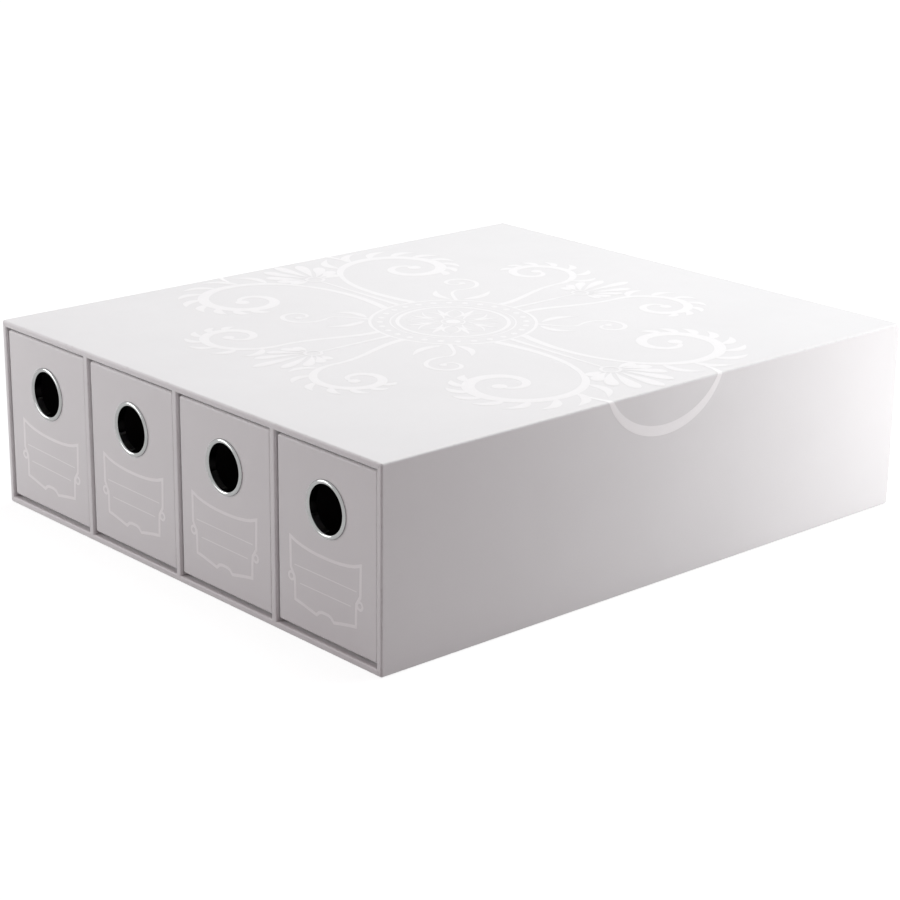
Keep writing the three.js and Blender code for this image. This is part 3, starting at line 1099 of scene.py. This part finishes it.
def studio_floor():
    """A pale floor that the camera sees as white, less the object's soft shadow."""
    shader = Shader("floor")
    tree = shader.material.node_tree
    lit = shader.node("ShaderNodeBsdfDiffuse", {"Color": grey(FLOOR_TONE)})
    shade = shader.node("ShaderNodeBsdfDiffuse", {"Color": grey(FLOOR_SHADE)})
    glow = shader.node("ShaderNodeEmission", {"Color": grey(BACKGROUND)})
    reach = shader.node("ShaderNodeVectorMath", operation="LENGTH")
    shader.join(shader.coordinates.outputs["Object"], reach.inputs[0])
    level = shader.spread(
        reach.outputs["Value"], low=FLOOR_GLOW, high=BACKGROUND, start=SHADOW_REACH, end=WHITE_FROM,
    )
    shader.join(level, glow.inputs["Strength"])
    seen = shader.node("ShaderNodeAddShader")
    shader.join(shade.outputs["BSDF"], seen.inputs[0])
    shader.join(glow.outputs["Emission"], seen.inputs[1])
    mix = shader.node("ShaderNodeMixShader")
    shader.join(light_share(tree), mix.inputs["Fac"])
    shader.join(lit.outputs["BSDF"], mix.inputs[1])
    shader.join(seen.outputs["Shader"], mix.inputs[2])
    shader.join(mix.outputs["Shader"], shader.output.inputs["Surface"])
    bpy.ops.mesh.primitive_plane_add(size=FLOOR_SIZE, location=(0, 0, cad_box[0].z))
    floor = bpy.context.object
    floor.name = "floor"
    floor.data.materials.append(shader.material)


def softbox(name, place, aim, size, power, colour=WHITE):
    light = bpy.data.lights.new(name, "AREA")
    light.shape = "RECTANGLE"
    light.size, light.size_y = size
    light.energy = power
    light.color = colour
    lamp = bpy.data.objects.new(name, light)
    bpy.context.scene.collection.objects.link(lamp)
    lamp.location = place
    lamp.rotation_euler = (Vector(aim) - Vector(place)).to_track_quat("-Z", "Y").to_euler()
    lamp.visible_camera = False


studio_world()
studio_floor()
softbox(
    "overhead_softbox", place=(0.08, 0.38, 1.25), aim=(0.0, 0.05, 0.1), size=(1.1, 1.1), power=15.7,
    colour=OVERHEAD_TINT,
)
softbox("side_softbox", place=(0.46, 0.32, 0.09), aim=(0.17, 0.26, 0.05), size=(0.20, 0.20), power=0.88)
softbox("front_softbox", place=(-0.95, -0.95, 0.40), aim=(-0.12, -0.2, 0.04), size=(0.6, 0.4), power=3.95)
softbox("low_softbox", place=(-0.55, -0.80, 0.14), aim=(-0.16, -0.25, 0.0), size=(0.4, 0.2), power=1.03)

# Camera: fitted to the visible edges of the case

CAMERA_PLACE = (0.979375, -0.884879, 0.472434)
CAMERA_AZIMUTH = 0.83678
CAMERA_TILT = 0.32124
CAMERA_ROLL = 0.01106
CAMERA_LENS = 93.989
SENSOR_WIDTH = 36.0


def photo_camera():
    ahead = Vector((
        -math.sin(CAMERA_AZIMUTH) * math.cos(CAMERA_TILT),
        math.cos(CAMERA_AZIMUTH) * math.cos(CAMERA_TILT),
        -math.sin(CAMERA_TILT),
    ))
    level = ahead.cross(Vector((0, 0, 1))).normalized()
    upright = level.cross(ahead)
    right = math.cos(CAMERA_ROLL) * level + math.sin(CAMERA_ROLL) * upright
    up = math.cos(CAMERA_ROLL) * upright - math.sin(CAMERA_ROLL) * level
    data = bpy.data.cameras.new("camera")
    data.lens = CAMERA_LENS
    data.sensor_width = SENSOR_WIDTH
    camera = bpy.data.objects.new("camera", data)
    bpy.context.scene.collection.objects.link(camera)
    turn = Matrix((right, up, -ahead)).transposed().to_4x4()
    camera.matrix_world = Matrix.Translation(CAMERA_PLACE) @ turn
    bpy.context.scene.camera = camera


photo_camera()
bpy.context.scene.view_settings.view_transform = "Standard"
